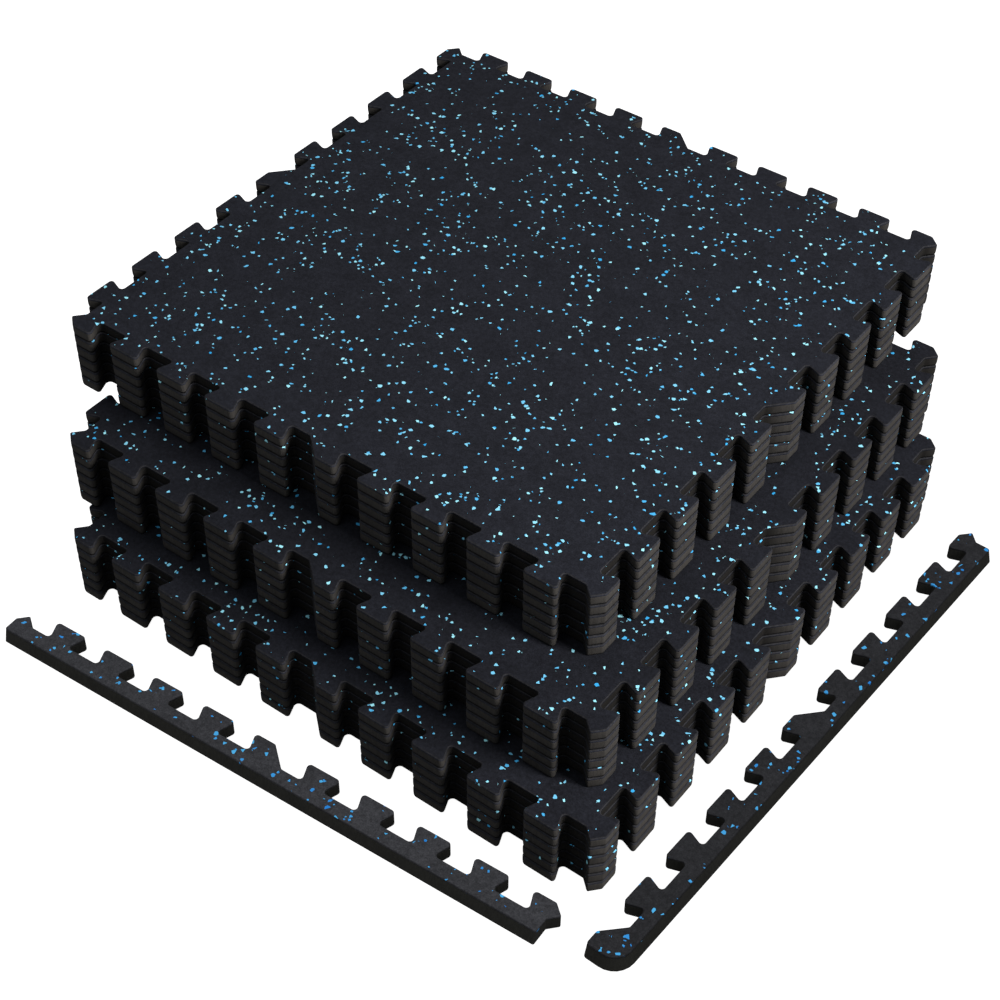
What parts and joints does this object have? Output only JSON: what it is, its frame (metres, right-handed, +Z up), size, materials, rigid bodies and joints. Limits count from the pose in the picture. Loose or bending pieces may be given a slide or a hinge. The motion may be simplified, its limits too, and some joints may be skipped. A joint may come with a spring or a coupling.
{
  "type": "interlocking foam mats",
  "caption": "Square rubber-topped foam floor mats with dovetail teeth on all sides, stacked in stepped bundles, with a straight and a corner border strip beside them.",
  "frame": {"origin": "middle of the lowest mat's underside, on the floor", "axes": "+Z up; +X along the stack's front edge to the right, towards the corner border strip; +Y from the straight border strip in front towards the back of the stack"},
  "size_m": [0.7965, 0.8296, 0.2286],
  "materials": {
    "mat_foam": "cut closed-cell foam, matt, black to dark grey",
    "mat_rubber": "matt charcoal rubber with a fine grain and scattered bright sky-blue chips",
    "border_foam": "cut closed-cell foam, matt, black to dark olive grey",
    "border_rubber": "matt slate rubber with a fine grain and fewer sky-blue chips"
  },
  "bodies": {
    "lower_mat_1": {"lower_mat_1_foam_base": "mat_foam", "lower_mat_1_rubber_top": "mat_rubber"},
    "lower_mat_2": {"lower_mat_2_foam_base": "mat_foam", "lower_mat_2_rubber_top": "mat_rubber"},
    "lower_mat_3": {"lower_mat_3_foam_base": "mat_foam", "lower_mat_3_rubber_top": "mat_rubber"},
    "lower_mat_4": {"lower_mat_4_foam_base": "mat_foam", "lower_mat_4_rubber_top": "mat_rubber"},
    "lower_mat_5": {"lower_mat_5_foam_base": "mat_foam", "lower_mat_5_rubber_top": "mat_rubber"},
    "lower_mat_6": {"lower_mat_6_foam_base": "mat_foam", "lower_mat_6_rubber_top": "mat_rubber"},
    "middle_mat_1": {"middle_mat_1_foam_base": "mat_foam", "middle_mat_1_rubber_top": "mat_rubber"},
    "middle_mat_2": {"middle_mat_2_foam_base": "mat_foam", "middle_mat_2_rubber_top": "mat_rubber"},
    "middle_mat_3": {"middle_mat_3_foam_base": "mat_foam", "middle_mat_3_rubber_top": "mat_rubber"},
    "middle_mat_4": {"middle_mat_4_foam_base": "mat_foam", "middle_mat_4_rubber_top": "mat_rubber"},
    "middle_mat_5": {"middle_mat_5_foam_base": "mat_foam", "middle_mat_5_rubber_top": "mat_rubber"},
    "middle_mat_6": {"middle_mat_6_foam_base": "mat_foam", "middle_mat_6_rubber_top": "mat_rubber"},
    "upper_mat_1": {"upper_mat_1_foam_base": "mat_foam", "upper_mat_1_rubber_top": "mat_rubber"},
    "upper_mat_2": {"upper_mat_2_foam_base": "mat_foam", "upper_mat_2_rubber_top": "mat_rubber"},
    "upper_mat_3": {"upper_mat_3_foam_base": "mat_foam", "upper_mat_3_rubber_top": "mat_rubber"},
    "upper_mat_4": {"upper_mat_4_foam_base": "mat_foam", "upper_mat_4_rubber_top": "mat_rubber"},
    "upper_mat_5": {"upper_mat_5_foam_base": "mat_foam", "upper_mat_5_rubber_top": "mat_rubber"},
    "upper_mat_6": {"upper_mat_6_foam_base": "mat_foam", "upper_mat_6_rubber_top": "mat_rubber"},
    "straight_border": {"straight_border_foam_base": "border_foam", "straight_border_rubber_top": "border_rubber"},
    "corner_border": {"corner_border_foam_base": "border_foam", "corner_border_rubber_top": "border_rubber"}
  },
  "joints": [
    {"name": "lower_mat_2_lift", "type": "slide", "parent": "lower_mat_1", "child": "lower_mat_2", "axis": [0, 0, 1], "range_m": [0, 0.04]},
    {"name": "lower_mat_3_lift", "type": "slide", "parent": "lower_mat_2", "child": "lower_mat_3", "axis": [0, 0, 1], "range_m": [0, 0.04]},
    {"name": "lower_mat_4_lift", "type": "slide", "parent": "lower_mat_3", "child": "lower_mat_4", "axis": [0, 0, 1], "range_m": [0, 0.04]},
    {"name": "lower_mat_5_lift", "type": "slide", "parent": "lower_mat_4", "child": "lower_mat_5", "axis": [0, 0, 1], "range_m": [0, 0.04]},
    {"name": "lower_mat_6_lift", "type": "slide", "parent": "lower_mat_5", "child": "lower_mat_6", "axis": [0, 0, 1], "range_m": [0, 0.04]},
    {"name": "middle_mat_1_lift", "type": "slide", "parent": "lower_mat_6", "child": "middle_mat_1", "axis": [0, 0, 1], "range_m": [0, 0.04]},
    {"name": "middle_mat_2_lift", "type": "slide", "parent": "middle_mat_1", "child": "middle_mat_2", "axis": [0, 0, 1], "range_m": [0, 0.04]},
    {"name": "middle_mat_3_lift", "type": "slide", "parent": "middle_mat_2", "child": "middle_mat_3", "axis": [0, 0, 1], "range_m": [0, 0.04]},
    {"name": "middle_mat_4_lift", "type": "slide", "parent": "middle_mat_3", "child": "middle_mat_4", "axis": [0, 0, 1], "range_m": [0, 0.04]},
    {"name": "middle_mat_5_lift", "type": "slide", "parent": "middle_mat_4", "child": "middle_mat_5", "axis": [0, 0, 1], "range_m": [0, 0.04]},
    {"name": "middle_mat_6_lift", "type": "slide", "parent": "middle_mat_5", "child": "middle_mat_6", "axis": [0, 0, 1], "range_m": [0, 0.04]},
    {"name": "upper_mat_1_lift", "type": "slide", "parent": "middle_mat_6", "child": "upper_mat_1", "axis": [0, 0, 1], "range_m": [0, 0.04]},
    {"name": "upper_mat_2_lift", "type": "slide", "parent": "upper_mat_1", "child": "upper_mat_2", "axis": [0, 0, 1], "range_m": [0, 0.04]},
    {"name": "upper_mat_3_lift", "type": "slide", "parent": "upper_mat_2", "child": "upper_mat_3", "axis": [0, 0, 1], "range_m": [0, 0.04]},
    {"name": "upper_mat_4_lift", "type": "slide", "parent": "upper_mat_3", "child": "upper_mat_4", "axis": [0, 0, 1], "range_m": [0, 0.04]},
    {"name": "upper_mat_5_lift", "type": "slide", "parent": "upper_mat_4", "child": "upper_mat_5", "axis": [0, 0, 1], "range_m": [0, 0.04]},
    {"name": "upper_mat_6_lift", "type": "slide", "parent": "upper_mat_5", "child": "upper_mat_6", "axis": [0, 0, 1], "range_m": [0, 0.04]},
    {"name": "straight_border_lift", "type": "slide", "parent": "lower_mat_1", "child": "straight_border", "axis": [0, 0, 1], "range_m": [0, 0.04]},
    {"name": "corner_border_lift", "type": "slide", "parent": "lower_mat_1", "child": "corner_border", "axis": [0, 0, 1], "range_m": [0, 0.04]}
  ]
}
